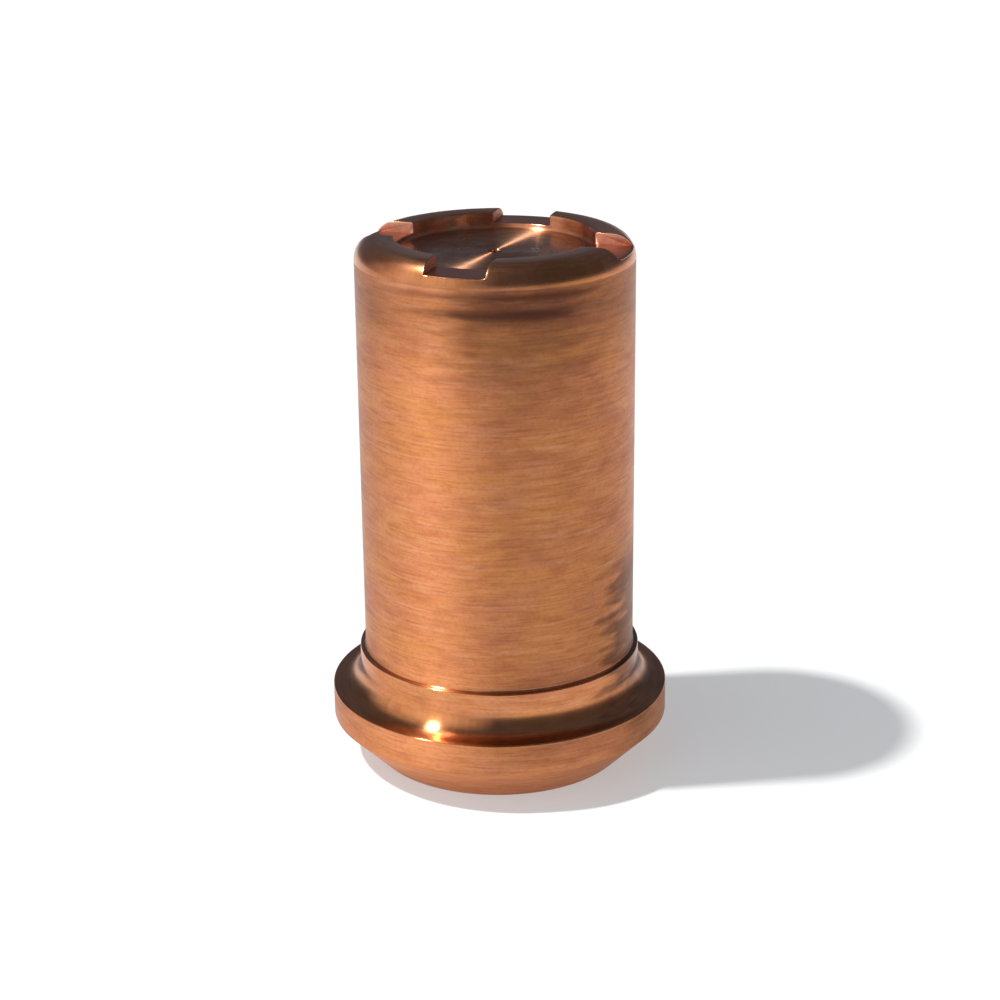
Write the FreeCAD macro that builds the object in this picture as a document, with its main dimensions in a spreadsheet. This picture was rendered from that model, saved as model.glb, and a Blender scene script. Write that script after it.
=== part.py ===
import FreeCAD, Part
import Sketcher
import os

# Plasma cutting nozzle, turned from one bar of copper.
# Millimetres. The origin is the centre of the rear face, and +Z points out of the front, with the cut.
# The jet leaves by the small orifice in the recess at the front, and four slots let its gas escape
# when the crown is dragged along the plate.

SIZES = [
    ("barrel_diameter", 10.0, "outside of the long barrel"),
    ("barrel_length", 15.45, "from the ledge to the top of the crown"),
    ("ledge_width", 0.2, "how far the collar stands proud of the barrel"),
    ("collar_length", 1.5, "from the flange to the ledge"),
    ("flange_overhang", 1.05, "how far the flange stands proud of the collar"),
    ("rim_length", 1.15, "straight side of the flange"),
    ("rear_chamfer", 1.55, "45 degree chamfer between the flange and the rear face"),
    ("root_radius", 0.8, "hollow curve where the collar meets the flange"),
    ("shoulder_radius", 0.8, "rounding of the crown's outer edge"),
    ("crown_wall", 1.45, "wall between the front recess and the barrel"),
    ("slot_width", 2.15, "each gas slot across the crown"),
    ("slot_depth", 0.4, "from the top of the crown to the slot's floor"),
    ("recess_step", 0.2, "how far the recess floor lies below the slots"),
    ("slot_count", 4, "gas slots around the crown"),
    ("orifice_diameter", 0.5, "hole that the jet leaves by"),
    ("orifice_length", 1.6, "straight length of the orifice"),
    ("cone_length", 2.9, "taper from the electrode bore to the orifice"),
    ("seat_step", 0.8, "shoulder between the counterbore and the electrode bore"),
    ("rear_wall", 0.7, "width of the rear face around the counterbore"),
    ("counterbore_depth", 3.0, "seat for the gas ring at the rear"),
    ("mouth_chamfer", 0.2, "lead-in at the mouth of the counterbore"),
]

# Radii and heights that follow from the sizes
BARREL_RADIUS = "sizes.barrel_diameter / 2"
COLLAR_RADIUS = BARREL_RADIUS + " + sizes.ledge_width"
FLANGE_RADIUS = COLLAR_RADIUS + " + sizes.flange_overhang"
REAR_RADIUS = FLANGE_RADIUS + " - sizes.rear_chamfer"
COUNTERBORE_RADIUS = REAR_RADIUS + " - sizes.rear_wall"
BORE_RADIUS = COUNTERBORE_RADIUS + " - sizes.seat_step"
ORIFICE_RADIUS = "sizes.orifice_diameter / 2"
RECESS_RADIUS = BARREL_RADIUS + " - sizes.crown_wall"

RIM_HEIGHT = "sizes.rear_chamfer"
FLANGE_HEIGHT = RIM_HEIGHT + " + sizes.rim_length"
LEDGE_HEIGHT = FLANGE_HEIGHT + " + sizes.collar_length"
CROWN_HEIGHT = LEDGE_HEIGHT + " + sizes.barrel_length"
SLOT_FLOOR = CROWN_HEIGHT + " - sizes.slot_depth"
RECESS_FLOOR = SLOT_FLOOR + " - sizes.recess_step"
CONE_END = RECESS_FLOOR + " - sizes.orifice_length"
BORE_END = CONE_END + " - sizes.cone_length"

# A rounding takes at most nine tenths of the wall or shelf that it stands on
ROOT_ROUNDING = "min(sizes.root_radius; sizes.flange_overhang * 0.9; sizes.collar_length * 0.9)"
SHOULDER_ROUNDING = "min(sizes.shoulder_radius; sizes.crown_wall * 0.9)"

ORIGIN = (-1, 1)
FULL_TURN = 360
TOLERANCE = 1e-6


def make_sheet(doc):
    """Write the driving dimensions, one a row, with its name beside it."""
    sheet = doc.addObject("Spreadsheet::Sheet", "sizes")
    for row, (alias, value, meaning) in enumerate(SIZES, start=1):
        sheet.set("A%d" % row, alias)
        sheet.set("B%d" % row, str(value))
        sheet.set("C%d" % row, meaning)
        sheet.setAlias("B%d" % row, alias)
    doc.recompute()
    return sheet


def attached_sketch(body, name, role):
    """Start a sketch on one of the body's own origin planes."""
    sketch = body.newObject("Sketcher::SketchObject", name)
    plane = next(f for f in body.Origin.OriginFeatures if f.Role == role)
    sketch.AttachmentSupport = (plane, [""])
    sketch.MapMode = "FlatFace"
    return sketch


def draw_loop(sketch, corners):
    """Join the corners in a closed loop, and keep its level edges level and its upright ones upright."""
    ends = corners[1:] + corners[:1]
    for (x1, y1), (x2, y2) in zip(corners, ends):
        line = Part.LineSegment(FreeCAD.Vector(x1, y1, 0), FreeCAD.Vector(x2, y2, 0))
        sketch.addGeometry(line, False)
    for edge, ((x1, y1), (x2, y2)) in enumerate(zip(corners, ends)):
        following = (edge + 1) % len(corners)
        sketch.addConstraint(Sketcher.Constraint("Coincident", edge, 2, following, 1))
        if abs(y1 - y2) < TOLERANCE:
            sketch.addConstraint(Sketcher.Constraint("Horizontal", edge))
        elif abs(x1 - x2) < TOLERANCE:
            sketch.addConstraint(Sketcher.Constraint("Vertical", edge))


def hold_at_origin(sketch):
    """Pin the loop's first corner to the sketch's origin."""
    sketch.addConstraint(Sketcher.Constraint("Coincident", 0, 1, *ORIGIN))


def dimension(sketch, label, kind, start, end, formula):
    """Set the distance from one corner to another along X or Y; a corner is an edge and its end."""
    first = sketch.getPoint(*start)
    second = sketch.getPoint(*end)
    span = second - first
    value = span.x if kind == "DistanceX" else span.y
    index = sketch.addConstraint(Sketcher.Constraint(kind, *start, *end, value))
    sketch.renameConstraint(index, label)
    sketch.setExpression("Constraints." + label, formula)


def along_edge(sketch, label, kind, edge, formula, backwards=False):
    """Set how far an edge reaches along X or Y, from its start to its end or the other way."""
    start, end = (edge, 1), (edge, 2)
    if backwards:
        start, end = end, start
    dimension(sketch, label, kind, start, end, formula)


def find_ring(shape, radius, height):
    """Name the round edge of this radius at this height."""
    for number, edge in enumerate(shape.Edges, start=1):
        curve = edge.Curve
        if not isinstance(curve, Part.Circle):
            continue
        if abs(curve.Radius - radius) < TOLERANCE and abs(curve.Center.z - height) < TOLERANCE:
            return "Edge%d" % number
    raise RuntimeError("no round edge of radius %.3f at height %.3f" % (radius, height))


def turn_outside(body, work_out):
    """The outside, from the rear face up over the flange, collar and ledge to the barrel."""
    barrel_radius = work_out(BARREL_RADIUS)
    collar_radius = work_out(COLLAR_RADIUS)
    flange_radius = work_out(FLANGE_RADIUS)
    flange_height = work_out(FLANGE_HEIGHT)
    ledge_height = work_out(LEDGE_HEIGHT)
    crown_height = work_out(CROWN_HEIGHT)

    sketch = attached_sketch(body, "outside_section", "XZ_Plane")
    draw_loop(sketch, [
        (0, 0),
        (work_out(REAR_RADIUS), 0),
        (flange_radius, work_out(RIM_HEIGHT)),
        (flange_radius, flange_height),
        (collar_radius, flange_height),
        (collar_radius, ledge_height),
        (barrel_radius, ledge_height),
        (barrel_radius, crown_height),
        (0, crown_height),
    ])
    hold_at_origin(sketch)
    along_edge(sketch, "chamfer_across", "DistanceX", 1, "sizes.rear_chamfer")
    along_edge(sketch, "chamfer_along", "DistanceY", 1, "sizes.rear_chamfer")
    along_edge(sketch, "rim", "DistanceY", 2, "sizes.rim_length")
    along_edge(sketch, "overhang", "DistanceX", 3, "sizes.flange_overhang", backwards=True)
    along_edge(sketch, "collar", "DistanceY", 4, "sizes.collar_length")
    along_edge(sketch, "ledge", "DistanceX", 5, "sizes.ledge_width", backwards=True)
    along_edge(sketch, "barrel", "DistanceY", 6, "sizes.barrel_length")
    along_edge(sketch, "barrel_radius", "DistanceX", 7, BARREL_RADIUS, backwards=True)

    turned = body.newObject("PartDesign::Revolution", "turned_outside")
    turned.Profile = sketch
    turned.ReferenceAxis = (sketch, ["V_Axis"])
    turned.Angle = FULL_TURN
    body.Document.recompute()
    return turned


def round_root(body, turned, work_out):
    """The hollow curve between the collar and the flange."""
    root = body.newObject("PartDesign::Fillet", "flange_root")
    root.Base = (turned, [find_ring(turned.Shape, work_out(COLLAR_RADIUS), work_out(FLANGE_HEIGHT))])
    root.setExpression("Radius", ROOT_ROUNDING)
    body.Document.recompute()
    return root


def round_shoulder(body, base, work_out):
    """The rounding of the crown's outer edge."""
    shoulder = body.newObject("PartDesign::Fillet", "crown_shoulder")
    shoulder.Base = (base, [find_ring(base.Shape, work_out(BARREL_RADIUS), work_out(CROWN_HEIGHT))])
    shoulder.setExpression("Radius", SHOULDER_ROUNDING)
    body.Document.recompute()
    return shoulder


def bore_inside(body, work_out):
    """The rear counterbore, the electrode bore, its cone, the orifice and the front recess in one section."""
    counterbore_radius = work_out(COUNTERBORE_RADIUS)
    bore_radius = work_out(BORE_RADIUS)
    orifice_radius = work_out(ORIFICE_RADIUS)
    recess_radius = work_out(RECESS_RADIUS)
    mouth_chamfer = work_out("sizes.mouth_chamfer")
    counterbore_depth = work_out("sizes.counterbore_depth")
    recess_floor = work_out(RECESS_FLOOR)
    crown_height = work_out(CROWN_HEIGHT)

    sketch = attached_sketch(body, "inside_section", "XZ_Plane")
    draw_loop(sketch, [
        (0, 0),
        (counterbore_radius + mouth_chamfer, 0),
        (counterbore_radius, mouth_chamfer),
        (counterbore_radius, counterbore_depth),
        (bore_radius, counterbore_depth),
        (bore_radius, work_out(BORE_END)),
        (orifice_radius, work_out(CONE_END)),
        (orifice_radius, recess_floor),
        (recess_radius, recess_floor),
        (recess_radius, crown_height),
        (0, crown_height),
    ])
    hold_at_origin(sketch)
    dimension(sketch, "counterbore_radius", "DistanceX", ORIGIN, (2, 1), COUNTERBORE_RADIUS)
    along_edge(sketch, "mouth_across", "DistanceX", 1, "sizes.mouth_chamfer", backwards=True)
    along_edge(sketch, "mouth_along", "DistanceY", 1, "sizes.mouth_chamfer")
    dimension(sketch, "counterbore_depth", "DistanceY", ORIGIN, (3, 1), "sizes.counterbore_depth")
    along_edge(sketch, "seat", "DistanceX", 3, "sizes.seat_step", backwards=True)
    along_edge(sketch, "cone", "DistanceY", 5, "sizes.cone_length")
    dimension(sketch, "orifice_radius", "DistanceX", ORIGIN, (6, 1), ORIFICE_RADIUS)
    along_edge(sketch, "orifice_length", "DistanceY", 6, "sizes.orifice_length")
    dimension(sketch, "recess_radius", "DistanceX", ORIGIN, (8, 1), RECESS_RADIUS)
    along_edge(sketch, "recess_depth", "DistanceY", 8, "sizes.slot_depth + sizes.recess_step")
    dimension(sketch, "crown_height", "DistanceY", ORIGIN, (9, 1), CROWN_HEIGHT)

    bored = body.newObject("PartDesign::Groove", "bored_inside")
    bored.Profile = sketch
    bored.ReferenceAxis = (sketch, ["V_Axis"])
    bored.Angle = FULL_TURN
    body.Document.recompute()
    return bored


def cut_slots(body, work_out):
    """One gas slot across the crown's wall, repeated evenly around the axis."""
    half_width = work_out("sizes.slot_width / 2")
    slot_floor = work_out(SLOT_FLOOR)
    above_crown = work_out(CROWN_HEIGHT + " + sizes.slot_depth")

    sketch = attached_sketch(body, "slot_section", "YZ_Plane")
    draw_loop(sketch, [
        (-half_width, slot_floor),
        (half_width, slot_floor),
        (half_width, above_crown),
        (-half_width, above_crown),
    ])
    along_edge(sketch, "slot_width", "DistanceX", 0, "sizes.slot_width")
    dimension(sketch, "slot_half", "DistanceX", ORIGIN, (1, 1), "sizes.slot_width / 2")
    dimension(sketch, "slot_floor", "DistanceY", ORIGIN, (0, 1), SLOT_FLOOR)
    along_edge(sketch, "above_crown", "DistanceY", 1, "2 * sizes.slot_depth")

    slot = body.newObject("PartDesign::Pocket", "gas_slot")
    slot.Profile = sketch
    slot.Type = "Length"
    slot.Reversed = True
    slot.setExpression("Length", "sizes.barrel_diameter")
    body.Document.recompute()

    slots = body.newObject("PartDesign::PolarPattern", "gas_slots")
    slots.Originals = [slot]
    slots.Axis = (next(f for f in body.Origin.OriginFeatures if f.Role == "Z_Axis"), [""])
    slots.Angle = FULL_TURN
    slots.setExpression("Occurrences", "sizes.slot_count")
    body.Tip = slots
    body.Document.recompute()
    return slot, slots


def check_cut(name, before, after):
    """A cut that points away from the metal removes nothing and shows no error."""
    if after.Shape.Volume > before.Shape.Volume - TOLERANCE:
        raise RuntimeError(name + " removed no metal")


def check_document(doc, body):
    """Every feature has to be sound, and the body one valid solid."""
    for item in doc.Objects:
        if "Invalid" in item.State or "Error" in item.State:
            raise RuntimeError(item.Name + " failed: " + str(item.State))
    shape = body.Shape
    if shape.isNull() or not shape.isValid() or len(shape.Solids) != 1:
        raise RuntimeError(body.Label + " isn't one valid solid")


def build_nozzle(doc, sheet):
    """The whole nozzle, in the order that it is machined."""

    def work_out(formula):
        return float(sheet.evalExpression(formula))

    body = doc.addObject("PartDesign::Body", "nozzle")
    body.Label = "nozzle"
    turned = turn_outside(body, work_out)
    root = round_root(body, turned, work_out)
    shoulder = round_shoulder(body, root, work_out)
    bored = bore_inside(body, work_out)
    check_cut("the boring", shoulder, bored)
    slot, slots = cut_slots(body, work_out)
    check_cut("the first slot", bored, slot)
    if work_out("sizes.slot_count") > 1:
        check_cut("the slot pattern", slot, slots)
    return body


doc = FreeCAD.newDocument("plasma_cutting_nozzle")
sheet = make_sheet(doc)
nozzle = build_nozzle(doc, sheet)
doc.recompute()
check_document(doc, nozzle)

os.makedirs("parts", exist_ok=True)
nozzle.Shape.exportStep("parts/nozzle.step")
box = nozzle.Shape.optimalBoundingBox()
print("nozzle %.2f x %.2f x %.2f mm, %.2f mm3, %d faces"
      % (box.XLength, box.YLength, box.ZLength, nozzle.Shape.Volume, len(nozzle.Shape.Faces)))
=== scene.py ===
from collections import namedtuple
from math import asin, atan2, cos, pi, radians, sin, tan

import bmesh
import bpy
from mathutils import Matrix, Vector


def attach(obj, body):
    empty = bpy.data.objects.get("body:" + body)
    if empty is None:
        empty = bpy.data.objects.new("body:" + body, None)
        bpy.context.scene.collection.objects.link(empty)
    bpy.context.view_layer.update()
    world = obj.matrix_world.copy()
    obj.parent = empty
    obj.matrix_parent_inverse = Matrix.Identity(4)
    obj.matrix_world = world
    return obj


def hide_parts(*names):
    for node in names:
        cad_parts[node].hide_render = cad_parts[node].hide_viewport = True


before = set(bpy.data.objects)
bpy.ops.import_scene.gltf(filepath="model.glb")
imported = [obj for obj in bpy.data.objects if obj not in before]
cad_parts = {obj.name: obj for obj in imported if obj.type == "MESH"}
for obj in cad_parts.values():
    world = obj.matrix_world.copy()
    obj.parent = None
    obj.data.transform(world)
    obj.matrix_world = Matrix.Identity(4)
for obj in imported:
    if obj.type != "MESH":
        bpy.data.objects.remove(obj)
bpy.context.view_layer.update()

MM = 0.001

# Sizes of the nozzle in millimetres, as its solid has them
BARREL_RADIUS = 5.0
BARREL_LENGTH = 15.45
LEDGE_WIDTH = 0.2
COLLAR_LENGTH = 1.5
FLANGE_OVERHANG = 1.05
RIM_LENGTH = 1.15
REAR_CHAMFER = 1.55
ROOT_RADIUS = 0.8
SHOULDER_RADIUS = 0.8
CROWN_WALL = 1.45
SLOT_WIDTH = 2.15
SLOT_DEPTH = 0.4
RECESS_STEP = 0.2
ORIFICE_RADIUS = 0.25
ORIFICE_LENGTH = 1.6
CONE_LENGTH = 2.9
SEAT_STEP = 0.8
REAR_WALL = 0.7
COUNTERBORE_DEPTH = 3.0
MOUTH_CHAMFER = 0.2
SLOT_COUNT = 4

COLLAR_RADIUS = BARREL_RADIUS + LEDGE_WIDTH
FLANGE_RADIUS = COLLAR_RADIUS + FLANGE_OVERHANG
FLANGE_HEIGHT = REAR_CHAMFER + RIM_LENGTH
LEDGE_HEIGHT = FLANGE_HEIGHT + COLLAR_LENGTH
CROWN_HEIGHT = LEDGE_HEIGHT + BARREL_LENGTH
SLOT_FLOOR = CROWN_HEIGHT - SLOT_DEPTH
RECESS_FLOOR = SLOT_FLOOR - RECESS_STEP
RECESS_RADIUS = BARREL_RADIUS - CROWN_WALL
REAR_RADIUS = FLANGE_RADIUS - REAR_CHAMFER
COUNTERBORE_RADIUS = REAR_RADIUS - REAR_WALL
BORE_RADIUS = COUNTERBORE_RADIUS - SEAT_STEP
CONE_END = RECESS_FLOOR - ORIFICE_LENGTH
BORE_END = CONE_END - CONE_LENGTH

# Broken edges and tool-nose corners, in millimetres
EDGE_BREAK = 0.05
CREST_BREAK = 0.07
TOOL_NOSE = 0.08
RECESS_NOSE = 0.12
SLOT_EDGE_BREAK = 0.04

# The finishes, as places in the nozzle's list of materials
SMOOTH, BARREL, CROWN, RECESS, MILLED = range(5)

# Mesh density, with lengths in millimetres and angles in degrees
SLOT_COLUMNS = 12
TOOTH_COLUMNS = 44
SLOT_ROWS = 8
EDGE_STEPS = 3
CURVE_STEPS = 14
BEVEL_STEPS = 3
ROW_LENGTH = 0.8
# A corner rounded by more than this gets CURVE_STEPS
LARGE_ROUNDING = 0.24
# An edge that turns by more than this is shaded as a sharp one
SHARP_ANGLE = 40

# The photograph's camera, from its fit to the outline, in pixels, millimetres and degrees
IMAGE_SIZE = 1000
FOCAL_PIXELS = 2267.0
CAMERA_DISTANCE = 85.35
CAMERA_ELEVATION = 23.13
CAMERA_ROLL = 0.64
LEDGE_PIXEL_X = 499.2
LEDGE_PIXEL_Y = 637.3
# The nozzle is turned so that its slots lie along X and Y, which puts the camera at this azimuth
CAMERA_AZIMUTH = 286.8
SENSOR_WIDTH = 36.0
# The nearest and the farthest that the camera sees, in metres
CLIP_NEAR = 0.005
CLIP_FAR = 20.0

# Light, as directions seen from the nozzle, in degrees
KEY_AZIMUTH = 203.0
KEY_ELEVATION = 60.0
KEY_STRENGTH = 3.6
KEY_ANGLE = 3.0
FRONT_AZIMUTH = 222.0
FRONT_ELEVATION = 12.0
FRONT_STRENGTH = 1.2
SKY_TOP = (0.1, 0.12, 0.16, 1.0)
SKY_HORIZON = (0.25, 0.26, 0.28, 1.0)
# The sky has its top colour above this z of a unit direction
HORIZON_FADE = 0.2
# The cosines of the angle from the front glow's middle where it starts and where it is full
FRONT_FADE = (0.5, 0.95)

# The floor: half its width in metres, its colour, and the share of white that is mixed into it
FLOOR_REACH = 6.0
FLOOR_COLOUR = (0.9, 0.9, 0.9, 1.0)
FLOOR_WHITE_SHARE = 0.4

# Colours as they look on a screen, from 0 to 255
WARM_COPPER = (214, 142, 87)
PINK_COPPER = (212, 139, 96)
PALE_COPPER = (228, 174, 138)
MARK_BROWN = (158, 86, 54)
# The colour of the painted dark reflections on the turned copper
REFLECTION_BROWN = (84, 50, 40)
# The slot walls' pale tone is a painted reflection of the white floor, and the slot floors' darker tone is a
# painted dark reflection of the sky
SLOT_WALL_PAINTED_REFLECTION = (224, 172, 148)
SLOT_FLOOR_PAINTED_SHADE = (188, 118, 90)

# Painted dark reflections of the dark sky and the shaded floor: bands on the upper barrel and shoulder on the
# side that faces the camera, and a patch low on the right side; angles in degrees, and bottom, top and the
# softness of both in millimetres
PaintedReflection = namedtuple("PaintedReflection", "strength azimuth reach fade bottom top soft")
PAINTED_REFLECTIONS = (
    PaintedReflection(strength=0.4, azimuth=286, reach=170, fade=10, bottom=16.8, top=19.0, soft=1.3),
    PaintedReflection(strength=0.3, azimuth=295, reach=22, fade=12, bottom=15.0, top=19.0, soft=1.5),
    PaintedReflection(strength=0.5, azimuth=299, reach=20, fade=12, bottom=17.7, top=18.9, soft=0.2),
    PaintedReflection(strength=0.75, azimuth=294, reach=30, fade=16, bottom=17.85, top=18.15, soft=0.1),
    PaintedReflection(strength=0.6, azimuth=290, reach=38, fade=18, bottom=18.5, top=18.7, soft=0.08),
    PaintedReflection(strength=0.65, azimuth=4, reach=22, fade=7, bottom=2.8, top=8.3, soft=0.8),
)

# How far a painted reflection's sides wander, as a change of the cosine of their angle, between these values
# of noise
REFLECTION_WANDER = 0.12
WANDER_NOISE = (0.2, 0.8)

# Turning marks are spaced along the section by its height and this share of its radius
RADIUS_TO_LENGTH = 1.7
# Nearer the axis than this, in millimetres, they no longer follow the circle
AXIS_RADIUS = 0.05

# Noise on turned copper: its scale round the axis, its scale along the section, its detail and roughness
FINE_MARKS = (4.0, 12.0, 3.0, 0.65)
LINES = (2.0, 6.0)
BANDS = (2.0, 0.9)
CLOUDS = (5.0, 2.5, 3.0)
MOTTLE = (36.0, 9.0)
REFLECTION_EDGES = (3.0, 2.5)

# How noise mixes in a tone: the noise where it starts and where it is full, and its share at both
BAND_MIX = (0.35, 0.65, 0.0, 1.0)
LINE_MIX = (0.5, 0.3, 0.0, 0.28)
FINE_MIX = (0.5, 0.8, 0.0, 0.6)
CLOUD_MIX = (0.45, 0.7, 0.0, 0.3)
MOTTLE_MIX = (0.45, 0.7, 0.0, 0.2)
MILLED_MIX = (0.35, 0.65, 0.0, 0.3)

# How far the bands' roughness departs from their finish's, between these values of noise
ROUGHNESS_SWING = 0.03
ROUGHNESS_NOISE = (0.3, 0.7)

# The strength of the bumps, and the share that the mottle has in the turned ones
TURNED_BUMP = 0.6
MOTTLE_BUMP = 0.5
MILLED_BUMP = 0.5

# The slots' milled faces: the grain's scale for a millimetre, its height in millimetres, the roughness,
# and the z of a face's direction up to which it is a wall and from which it is a floor
MILLED_GRAIN = 6
MILLED_RELIEF = 0.004
SLOT_WALL_ROUGHNESS = 0.6
SLOT_FLOOR_ROUGHNESS = 0.3
WALL_TO_FLOOR = (0.4, 0.9)


def rounded(corners, steps):
    """Follow the corners of a section; each is radius, height and the rounding of that corner."""
    points = [Vector(corners[0][:2])]
    for before, here, after in zip(corners, corners[1:], corners[2:]):
        corner = Vector(here[:2])
        rounding = here[2]
        if rounding == 0:
            points.append(corner)
            continue
        back = (Vector(before[:2]) - corner).normalized()
        on = (Vector(after[:2]) - corner).normalized()
        half = back.angle(on) / 2
        reach = rounding / tan(half)
        centre = corner + (back + on).normalized() * (rounding / sin(half))
        first = corner + back * reach - centre
        last = corner + on * reach - centre
        sweep = first.angle(last)
        count = CURVE_STEPS if rounding > LARGE_ROUNDING else steps
        for i in range(count + 1):
            share = i / count
            arm = (first * sin((1 - share) * sweep) + last * sin(share * sweep)) / sin(sweep)
            points.append(centre + arm)
    points.append(Vector(corners[-1][:2]))
    return points


def with_rows(points):
    """Divide long straight stretches of a section, so that the mesh has even faces."""
    dense = [points[0]]
    for start, end in zip(points, points[1:]):
        count = max(1, round((end - start).length / ROW_LENGTH))
        dense += [start.lerp(end, i / count) for i in range(1, count + 1)]
    return dense


# The rounded shoulder starts from the barrel at this height, and the slots' floors leave through it
SHOULDER_START = CROWN_HEIGHT - SHOULDER_RADIUS
SLOT_EXIT_ANGLE = asin((SLOT_FLOOR - SHOULDER_START) / SHOULDER_RADIUS)


def shoulder_point(angle):
    """A point of the shoulder; the angle is 0 at the barrel and a quarter turn on top."""
    return Vector((BARREL_RADIUS - SHOULDER_RADIUS + SHOULDER_RADIUS * cos(angle),
                   SHOULDER_START + SHOULDER_RADIUS * sin(angle)))


def shoulder(start, end, steps):
    """Even points along the shoulder, from one angle to another."""
    return [shoulder_point(start + (end - start) * i / steps) for i in range(steps + 1)]


def body_section():
    """The section below the slots' floors, from the shoulder down the outside and up the inside."""
    outside = rounded([
        (BARREL_RADIUS, SHOULDER_START, 0),
        (BARREL_RADIUS, LEDGE_HEIGHT, TOOL_NOSE),
        (COLLAR_RADIUS, LEDGE_HEIGHT, EDGE_BREAK),
        (COLLAR_RADIUS, FLANGE_HEIGHT, ROOT_RADIUS),
        (FLANGE_RADIUS, FLANGE_HEIGHT, EDGE_BREAK),
        (FLANGE_RADIUS, REAR_CHAMFER, EDGE_BREAK),
        (REAR_RADIUS, 0, EDGE_BREAK),
        (COUNTERBORE_RADIUS + MOUTH_CHAMFER, 0, EDGE_BREAK),
        (COUNTERBORE_RADIUS, MOUTH_CHAMFER, EDGE_BREAK),
        (COUNTERBORE_RADIUS, COUNTERBORE_DEPTH, TOOL_NOSE),
        (BORE_RADIUS, COUNTERBORE_DEPTH, EDGE_BREAK),
        (BORE_RADIUS, BORE_END, TOOL_NOSE),
        (ORIFICE_RADIUS, CONE_END, EDGE_BREAK),
        (ORIFICE_RADIUS, RECESS_FLOOR, EDGE_BREAK),
        (RECESS_RADIUS, RECESS_FLOOR, RECESS_NOSE),
        (RECESS_RADIUS, SLOT_FLOOR, 0),
    ], EDGE_STEPS)
    return shoulder(SLOT_EXIT_ANGLE, 0, CURVE_STEPS)[:-1] + with_rows(outside)


def tooth_section():
    """The section of the crown above the slots' floors, from the recess over the top to the shoulder."""
    top = rounded([
        (RECESS_RADIUS, SLOT_FLOOR, 0),
        (RECESS_RADIUS, CROWN_HEIGHT, CREST_BREAK),
        (BARREL_RADIUS - SHOULDER_RADIUS, CROWN_HEIGHT, 0),
    ], EDGE_STEPS)
    return top + shoulder(pi / 2, SLOT_EXIT_ANGLE, CURVE_STEPS)[1:]


def slot_half_angle(radius):
    """Half the angle that a slot takes up; inside the recess it is the same as at the recess."""
    return asin(SLOT_WIDTH / 2 / max(radius, RECESS_RADIUS))


def tooth_angles(radius):
    """Even angles across one tooth, from the wall of one slot to the wall of the next."""
    start = slot_half_angle(radius)
    width = 2 * pi / SLOT_COUNT - 2 * start
    return [start + width * i / TOOTH_COLUMNS for i in range(TOOTH_COLUMNS + 1)]


def slot_angles(radius):
    """Angles across one slot, spaced so that each column runs straight along the slot."""
    reach = max(radius, RECESS_RADIUS)
    offsets = [SLOT_WIDTH * (i / SLOT_COLUMNS - 0.5) for i in range(SLOT_COLUMNS + 1)]
    return [asin(offset / reach) for offset in offsets]


def ring_angles(radius):
    """Angles all round the nozzle, with the slots' and the teeth's columns in turn."""
    quarter = slot_angles(radius)[:-1] + tooth_angles(radius)[:-1]
    return [turn * 2 * pi / SLOT_COUNT + angle for turn in range(SLOT_COUNT) for angle in quarter]


def add_point(mesh, radius, height, angle):
    """A point of the mesh, from millimetres to metres."""
    return mesh.verts.new((radius * cos(angle) * MM, radius * sin(angle) * MM, height * MM))


def add_body(mesh):
    """The full rings of the body; returns the first and the last, which the crown stands on."""
    rings = [[add_point(mesh, r, z, angle) for angle in ring_angles(r)] for r, z in body_section()]
    for upper, lower in zip(rings, rings[1:]):
        for i in range(len(upper)):
            j = (i + 1) % len(upper)
            mesh.faces.new((upper[i], upper[j], lower[j], lower[i]))
    return rings[0], rings[-1]


def add_tooth(mesh, turn, outer, inner):
    """One tooth's skin; returns its two side columns, from the recess to the shoulder."""
    base = 2 * pi * turn / SLOT_COUNT
    columns = SLOT_COLUMNS + TOOTH_COLUMNS
    first = turn * columns + SLOT_COLUMNS
    picks = [(first + i) % len(inner) for i in range(TOOTH_COLUMNS + 1)]
    rows = [[inner[i] for i in picks]]
    for r, z in tooth_section()[1:-1]:
        rows.append([add_point(mesh, r, z, base + angle) for angle in tooth_angles(r)])
    rows.append([outer[i] for i in picks])
    for lower, upper in zip(rows, rows[1:]):
        for i in range(TOOTH_COLUMNS):
            mesh.faces.new((lower[i], lower[i + 1], upper[i + 1], upper[i]))
    return [row[0] for row in rows], [row[-1] for row in rows]


def add_slot_floor(mesh, turn, outer, inner, milled):
    """One slot's floor; returns its two side columns, from the recess to the shoulder."""
    first = turn * (SLOT_COLUMNS + TOOTH_COLUMNS)
    picks = [(first + i) % len(inner) for i in range(SLOT_COLUMNS + 1)]
    rows = [[inner[i] for i in picks]]
    for row in range(1, SLOT_ROWS):
        share = row / SLOT_ROWS
        rows.append([mesh.verts.new(inner[i].co.lerp(outer[i].co, share)) for i in picks])
    rows.append([outer[i] for i in picks])
    for lower, upper in zip(rows, rows[1:]):
        for i in range(SLOT_COLUMNS):
            milled.append(mesh.faces.new((lower[i], lower[i + 1], upper[i + 1], upper[i])))
    return [row[0] for row in rows], [row[-1] for row in rows]


def edges_along(mesh, column):
    """The edges between the points of a column, in order."""
    return [mesh.edges.get((a, b)) for a, b in zip(column, column[1:])]


def finish_of(face):
    """Which finish a turned face has, by its place on the section."""
    middle = face.calc_center_median() / MM
    radius = middle.xy.length
    if radius < RECESS_RADIUS + CREST_BREAK / 2:
        return RECESS if middle.z > RECESS_FLOOR - EDGE_BREAK else SMOOTH
    if middle.z > SHOULDER_START:
        return CROWN
    on_rim = radius > REAR_RADIUS and middle.z < FLANGE_HEIGHT - EDGE_BREAK
    return BARREL if on_rim or middle.z > LEDGE_HEIGHT + TOOL_NOSE else SMOOTH


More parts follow.
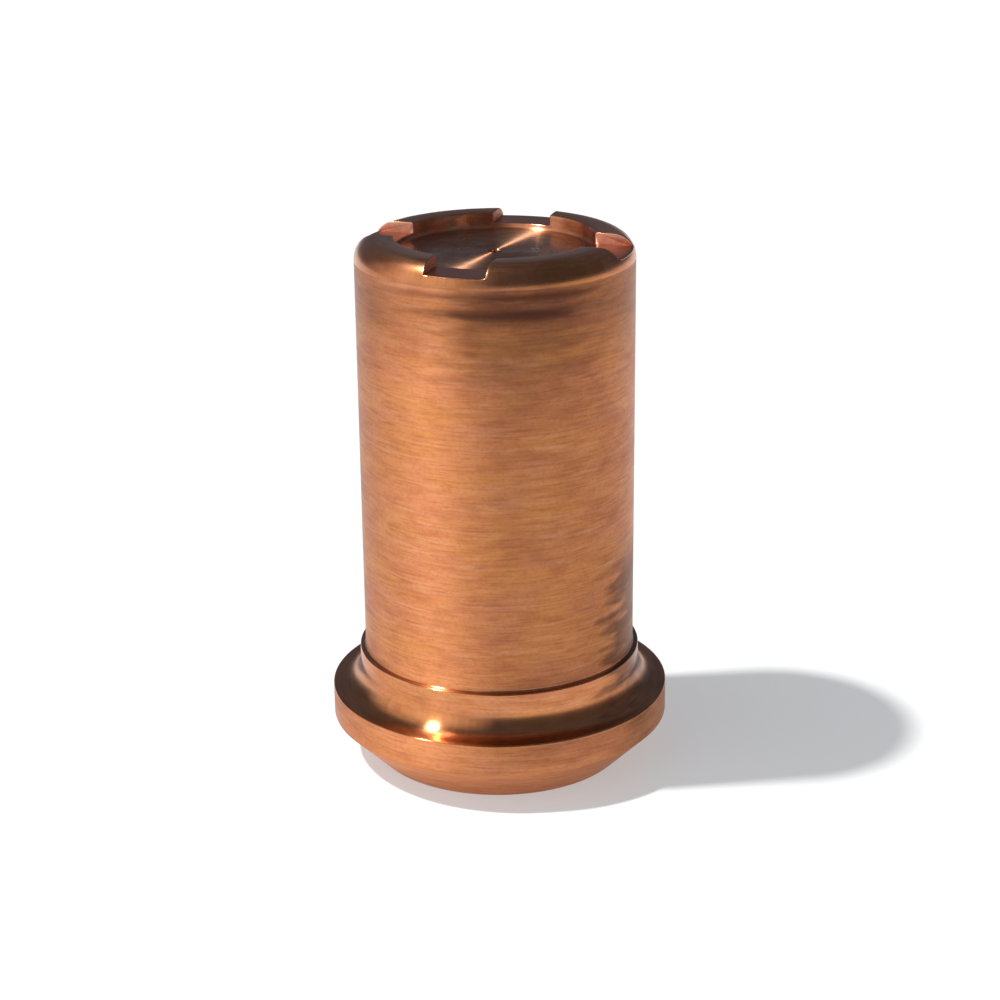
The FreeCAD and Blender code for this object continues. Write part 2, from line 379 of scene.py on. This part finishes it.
def build_nozzle():
    """The whole nozzle as one closed mesh, with a broken edge round every tooth."""
    mesh = bmesh.new()
    broken = mesh.edges.layers.float.new("bevel_weight_edge")
    outer, inner = add_body(mesh)
    milled = []
    teeth = [add_tooth(mesh, turn, outer, inner) for turn in range(SLOT_COUNT)]
    floors = [add_slot_floor(mesh, turn, outer, inner, milled) for turn in range(SLOT_COUNT)]
    to_break = []
    for turn in range(SLOT_COUNT):
        tooth_start, tooth_end = teeth[turn]
        next_floor = floors[(turn + 1) % SLOT_COUNT][0]
        for skin, floor in ((tooth_start, floors[turn][1]), (tooth_end, next_floor)):
            milled.append(mesh.faces.new(skin + floor[-2:0:-1]))
            to_break += edges_along(mesh, skin)
        first = turn * (SLOT_COLUMNS + TOOTH_COLUMNS)
        picks = [(first + i) % len(inner) for i in range(SLOT_COLUMNS + 1)]
        for ring in (outer, inner):
            to_break += edges_along(mesh, [ring[i] for i in picks])
    for edge in to_break:
        edge[broken] = 1.0
    for face in mesh.faces:
        face.material_index = finish_of(face)
    for face in milled:
        face.material_index = MILLED
    bmesh.ops.recalc_face_normals(mesh, faces=mesh.faces)
    for face in mesh.faces:
        face.smooth = True
    for edge in mesh.edges:
        edge.smooth = edge[broken] > 0 or edge.calc_face_angle() < radians(SHARP_ANGLE)

    data = bpy.data.meshes.new("turned_nozzle")
    mesh.to_mesh(data)
    mesh.free()
    piece = bpy.data.objects.new("turned_nozzle", data)
    bpy.context.scene.collection.objects.link(piece)
    bevel = piece.modifiers.new("broken_edges", "BEVEL")
    bevel.limit_method = "WEIGHT"
    bevel.width = SLOT_EDGE_BREAK * MM
    bevel.segments = BEVEL_STEPS
    bevel.use_clamp_overlap = False
    weighted = piece.modifiers.new("flat_faces", "WEIGHTED_NORMAL")
    weighted.keep_sharp = True
    return piece


class Nodes:
    """Short names for the shader nodes that the materials and the sky share."""

    def __init__(self, name, world=None):
        self.owner = world or bpy.data.materials.new(name)
        self.owner.use_nodes = True
        self.tree = self.owner.node_tree
        self.tree.nodes.clear()

    def add(self, kind, **values):
        node = self.tree.nodes.new(kind)
        for key, value in values.items():
            setattr(node, key, value)
        return node

    def join(self, source, target):
        self.tree.links.new(source, target)

    def feed(self, value, socket):
        if isinstance(value, bpy.types.NodeSocket):
            self.join(value, socket)
        else:
            socket.default_value = value

    def maths(self, operation, first, second=0.0, third=0.0):
        node = self.add("ShaderNodeMath", operation=operation)
        for socket, value in zip(node.inputs, (first, second, third)):
            self.feed(value, socket)
        return node.outputs[0]

    def blend(self, share, first, second):
        node = self.add("ShaderNodeMix", data_type="RGBA")
        colours = [socket for socket in node.inputs if socket.type == "RGBA"]
        self.feed(share, node.inputs[0])
        self.feed(first, colours[0])
        self.feed(second, colours[1])
        return next(socket for socket in node.outputs if socket.type == "RGBA")

    def ranged(self, value, low, high, to_low=0.0, to_high=1.0):
        node = self.add("ShaderNodeMapRange")
        for socket, item in zip(node.inputs, (value, low, high, to_low, to_high)):
            self.feed(item, socket)
        return node.outputs[0]

    def noise(self, place, detail=2.0, roughness=0.5):
        node = self.add("ShaderNodeTexNoise")
        self.join(place, node.inputs["Vector"])
        node.inputs["Scale"].default_value = 1.0
        node.inputs["Detail"].default_value = detail
        node.inputs["Roughness"].default_value = roughness
        return node.outputs["Fac"]


def linear(red, green, blue):
    """A colour written as it looks on a screen, from 0 to 255, as the shader wants it."""
    def channel(value):
        share = value / 255
        return share / 12.92 if share <= 0.04045 else ((share + 0.055) / 1.055) ** 2.4
    return (channel(red), channel(green), channel(blue), 1.0)


class TurnedPlace:
    """Sockets for the place on a turned surface: unit direction across, and millimetres along the section."""

    def __init__(self, nodes):
        self.nodes = nodes
        split = nodes.add("ShaderNodeSeparateXYZ")
        nodes.join(nodes.add("ShaderNodeTexCoord").outputs["Object"], split.inputs[0])
        x, y, z = [nodes.maths("MULTIPLY", socket, 1 / MM) for socket in split.outputs]
        square = nodes.maths("MULTIPLY_ADD", x, x, nodes.maths("MULTIPLY", y, y))
        radius = nodes.maths("MAXIMUM", nodes.maths("SQRT", square), AXIS_RADIUS)
        self.across_x = nodes.maths("DIVIDE", x, radius)
        self.across_y = nodes.maths("DIVIDE", y, radius)
        self.along = nodes.maths("MULTIPLY_ADD", radius, RADIUS_TO_LENGTH, z)
        self.height = z

    def noise(self, round_scale, along_scale, detail=2.0, roughness=0.5):
        """Noise that runs round the axis: a low round scale gives long streaks."""
        node = self.nodes.add("ShaderNodeCombineXYZ")
        scaled = ((self.across_x, round_scale), (self.across_y, round_scale), (self.along, along_scale))
        for socket, (value, scale) in zip(node.inputs, scaled):
            self.nodes.join(self.nodes.maths("MULTIPLY", value, scale), socket)
        return self.nodes.noise(node.outputs[0], detail, roughness)

    def share_of(self, painted_reflection):
        """How much of a painted dark reflection lies on a place; its edges are soft and uneven."""
        nodes = self.nodes
        facing = direction(painted_reflection.azimuth, 0)
        cosine = nodes.maths("MULTIPLY", self.across_x, facing.x)
        cosine = nodes.maths("MULTIPLY_ADD", self.across_y, facing.y, cosine)
        outer_end = cos(radians(painted_reflection.reach + painted_reflection.fade))
        inner_end = cos(radians(painted_reflection.reach - painted_reflection.fade))
        edge = self.noise(*REFLECTION_EDGES)
        wander = nodes.ranged(edge, *WANDER_NOISE, -REFLECTION_WANDER, REFLECTION_WANDER)
        cosine = nodes.maths("ADD", cosine, wander)
        sideways = nodes.ranged(cosine, outer_end, inner_end, 0.0, painted_reflection.strength)
        uneven = nodes.maths("MULTIPLY_ADD", edge, 2 * painted_reflection.soft, self.height)
        above = nodes.ranged(uneven, painted_reflection.bottom, painted_reflection.bottom + 2 * painted_reflection.soft)
        below = nodes.ranged(uneven, painted_reflection.top + 2 * painted_reflection.soft, painted_reflection.top)
        return nodes.maths("MULTIPLY", sideways, nodes.maths("MULTIPLY", above, below))


def turned_copper(name, roughness, anisotropy, relief, tones):
    """Bare copper with the marks of the lathe tool running round it, and painted dark reflections mixed into
    its colour.
    """
    nodes = Nodes(name)
    place = TurnedPlace(nodes)
    fine = place.noise(*FINE_MARKS)
    lines = place.noise(*LINES)
    bands = place.noise(*BANDS)
    clouds = place.noise(*CLOUDS)
    mottle = place.noise(*MOTTLE)

    tone = nodes.blend(nodes.ranged(bands, *BAND_MIX), linear(*tones[0]), linear(*tones[1]))
    tone = nodes.blend(nodes.ranged(lines, *LINE_MIX), tone, linear(*PALE_COPPER))
    for marks, mix in ((fine, FINE_MIX), (clouds, CLOUD_MIX), (mottle, MOTTLE_MIX)):
        tone = nodes.blend(nodes.ranged(marks, *mix), tone, linear(*MARK_BROWN))
    # Painted dark reflections darken the tone where they lie
    for painted_reflection in PAINTED_REFLECTIONS:
        tone = nodes.blend(place.share_of(painted_reflection), tone, linear(*REFLECTION_BROWN))

    bump = nodes.add("ShaderNodeBump")
    bump.inputs["Strength"].default_value = TURNED_BUMP
    bump.inputs["Distance"].default_value = relief * MM
    nodes.join(nodes.maths("MULTIPLY_ADD", mottle, MOTTLE_BUMP, fine), bump.inputs["Height"])

    tangent = nodes.add("ShaderNodeTangent", direction_type="RADIAL", axis="Z")
    shader = nodes.add("ShaderNodeBsdfPrincipled")
    shader.inputs["Metallic"].default_value = 1.0
    shader.inputs["Anisotropic"].default_value = anisotropy
    shader.inputs["Anisotropic Rotation"].default_value = 0.25
    nodes.join(tone, shader.inputs["Base Color"])
    least = roughness - ROUGHNESS_SWING
    most = roughness + ROUGHNESS_SWING
    nodes.join(nodes.ranged(bands, *ROUGHNESS_NOISE, least, most), shader.inputs["Roughness"])
    nodes.join(bump.outputs[0], shader.inputs["Normal"])
    nodes.join(tangent.outputs[0], shader.inputs["Tangent"])
    output = nodes.add("ShaderNodeOutputMaterial")
    nodes.join(shader.outputs[0], output.inputs["Surface"])
    return nodes.owner


def milled_copper():
    """The slots' floors and walls, cut straight across by a small mill; the floors are painted darker as a
    dark reflection of the sky, and the walls paler as a painted reflection of the white floor.
    """
    nodes = Nodes("milled_copper")
    surface = nodes.add("ShaderNodeTexCoord")
    scaled = nodes.add("ShaderNodeVectorMath", operation="SCALE")
    nodes.join(surface.outputs["Object"], scaled.inputs[0])
    scaled.inputs["Scale"].default_value = MILLED_GRAIN / MM
    grain = nodes.noise(scaled.outputs[0], 3.0, 0.6)
    split = nodes.add("ShaderNodeSeparateXYZ")
    nodes.join(surface.outputs["Normal"], split.inputs[0])
    # Upward faces take the floors' painted dark reflection, upright faces the walls' painted pale reflection;
    # the same share sets the roughness
    level = nodes.ranged(split.outputs[2], *WALL_TO_FLOOR)
    tone = nodes.blend(level, linear(*SLOT_WALL_PAINTED_REFLECTION), linear(*SLOT_FLOOR_PAINTED_SHADE))
    tone = nodes.blend(nodes.ranged(grain, *MILLED_MIX), tone, linear(*MARK_BROWN))
    bump = nodes.add("ShaderNodeBump")
    bump.inputs["Strength"].default_value = MILLED_BUMP
    bump.inputs["Distance"].default_value = MILLED_RELIEF * MM
    nodes.join(grain, bump.inputs["Height"])
    shader = nodes.add("ShaderNodeBsdfPrincipled")
    shader.inputs["Metallic"].default_value = 1.0
    nodes.join(tone, shader.inputs["Base Color"])
    roughness = nodes.ranged(level, 0.0, 1.0, SLOT_WALL_ROUGHNESS, SLOT_FLOOR_ROUGHNESS)
    nodes.join(roughness, shader.inputs["Roughness"])
    nodes.join(bump.outputs[0], shader.inputs["Normal"])
    output = nodes.add("ShaderNodeOutputMaterial")
    nodes.join(shader.outputs[0], output.inputs["Surface"])
    return nodes.owner


def copper_finishes():
    """The nozzle's materials, each under its place in the list."""
    warm = (WARM_COPPER, PINK_COPPER)
    pale = (PALE_COPPER, PINK_COPPER)
    return {
        SMOOTH: turned_copper("smooth_copper", roughness=0.18, anisotropy=1.0, relief=0.002, tones=warm),
        BARREL: turned_copper("barrel_copper", roughness=0.48, anisotropy=0.75, relief=0.005, tones=warm),
        CROWN: turned_copper("crown_copper", roughness=0.25, anisotropy=0.2, relief=0.003, tones=warm),
        RECESS: turned_copper("recess_copper", roughness=0.28, anisotropy=1.0, relief=0.003, tones=pale),
        MILLED: milled_copper(),
    }


def direction(azimuth, elevation):
    """Unit vector towards an azimuth, anticlockwise from +X, and an elevation, in degrees."""
    flat = cos(radians(elevation))
    return Vector((flat * cos(radians(azimuth)), flat * sin(radians(azimuth)), sin(radians(elevation))))


def add_floor():
    """A plain pale floor, which keeps a soft shadow."""
    reach = FLOOR_REACH
    corners = [(-reach, -reach, 0), (reach, -reach, 0), (reach, reach, 0), (-reach, reach, 0)]
    data = bpy.data.meshes.new("floor")
    data.from_pydata(corners, [], [(0, 1, 2, 3)])
    floor = bpy.data.objects.new("floor", data)
    bpy.context.scene.collection.objects.link(floor)
    nodes = Nodes("pale_floor")
    paths = nodes.add("ShaderNodeLightPath")
    seen = nodes.maths("MAXIMUM", paths.outputs["Is Camera Ray"], paths.outputs["Is Glossy Ray"])
    seen = nodes.maths("MAXIMUM", seen, paths.outputs["Is Transmission Ray"])
    matte = nodes.add("ShaderNodeBsdfDiffuse")
    matte.inputs["Color"].default_value = FLOOR_COLOUR
    white = nodes.add("ShaderNodeEmission")
    white.inputs["Strength"].default_value = 1.0
    mixed = nodes.add("ShaderNodeMixShader")
    nodes.join(nodes.maths("MULTIPLY", seen, FLOOR_WHITE_SHARE), mixed.inputs[0])
    nodes.join(matte.outputs[0], mixed.inputs[1])
    nodes.join(white.outputs[0], mixed.inputs[2])
    output = nodes.add("ShaderNodeOutputMaterial")
    nodes.join(mixed.outputs[0], output.inputs["Surface"])
    data.materials.append(nodes.owner)


def add_light():
    """One key light from the left, a dim sky that is palest from the horizon down, and a low glow in it."""
    lamp = bpy.data.lights.new("key", "SUN")
    lamp.energy = KEY_STRENGTH
    lamp.angle = radians(KEY_ANGLE)
    key = bpy.data.objects.new("key", lamp)
    key.rotation_euler = direction(KEY_AZIMUTH, KEY_ELEVATION).to_track_quat("Z", "Y").to_euler()
    bpy.context.scene.collection.objects.link(key)

    world = bpy.data.worlds.new("studio")
    bpy.context.scene.world = world
    nodes = Nodes("studio", world)
    place_on_sky = nodes.add("ShaderNodeTexCoord").outputs["Generated"]
    split = nodes.add("ShaderNodeSeparateXYZ")
    nodes.join(place_on_sky, split.inputs[0])
    near_horizon = nodes.ranged(split.outputs[2], HORIZON_FADE, 0.0)
    sky_tone = nodes.blend(near_horizon, SKY_TOP, SKY_HORIZON)
    toward_front = nodes.add("ShaderNodeVectorMath", operation="DOT_PRODUCT")
    nodes.join(place_on_sky, toward_front.inputs[0])
    toward_front.inputs[1].default_value = direction(FRONT_AZIMUTH, FRONT_ELEVATION)
    front = nodes.ranged(toward_front.outputs["Value"], *FRONT_FADE)
    glow = (FRONT_STRENGTH, FRONT_STRENGTH, FRONT_STRENGTH, 1.0)
    sky = nodes.add("ShaderNodeBackground")
    nodes.join(nodes.blend(front, sky_tone, glow), sky.inputs["Color"])
    output = nodes.add("ShaderNodeOutputWorld")
    nodes.join(sky.outputs[0], output.inputs["Surface"])


def add_camera():
    """The camera of the photograph, aimed so that the ledge's centre falls on its pixel."""
    ledge = Vector((0, 0, LEDGE_HEIGHT * MM))
    outwards = direction(CAMERA_AZIMUTH, CAMERA_ELEVATION)
    right = Vector((0, 0, 1)).cross(outwards).normalized()
    up = outwards.cross(right)
    level = Matrix((right, up, outwards)).transposed()
    turn = Matrix.Rotation(atan2(LEDGE_PIXEL_X - IMAGE_SIZE / 2, FOCAL_PIXELS), 3, "Y")
    tilt = Matrix.Rotation(atan2(LEDGE_PIXEL_Y - IMAGE_SIZE / 2, FOCAL_PIXELS), 3, "X")
    roll = Matrix.Rotation(-radians(CAMERA_ROLL), 3, "Z")
    lens = bpy.data.cameras.new("camera")
    lens.sensor_width = SENSOR_WIDTH
    lens.lens = lens.sensor_width * FOCAL_PIXELS / IMAGE_SIZE
    lens.clip_start = CLIP_NEAR
    lens.clip_end = CLIP_FAR
    camera = bpy.data.objects.new("camera", lens)
    camera.matrix_world = (Matrix.Translation(ledge + outwards * CAMERA_DISTANCE * MM)
                           @ (level @ roll @ tilt @ turn).to_4x4())
    bpy.context.scene.collection.objects.link(camera)
    bpy.context.scene.camera = camera


nozzle = build_nozzle()
finishes = copper_finishes()
for place_in_list in sorted(finishes):
    nozzle.data.materials.append(finishes[place_in_list])
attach(nozzle, "root")
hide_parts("nozzle")
add_floor()
add_light()
add_camera()
bpy.context.scene.view_settings.view_transform = "Standard"
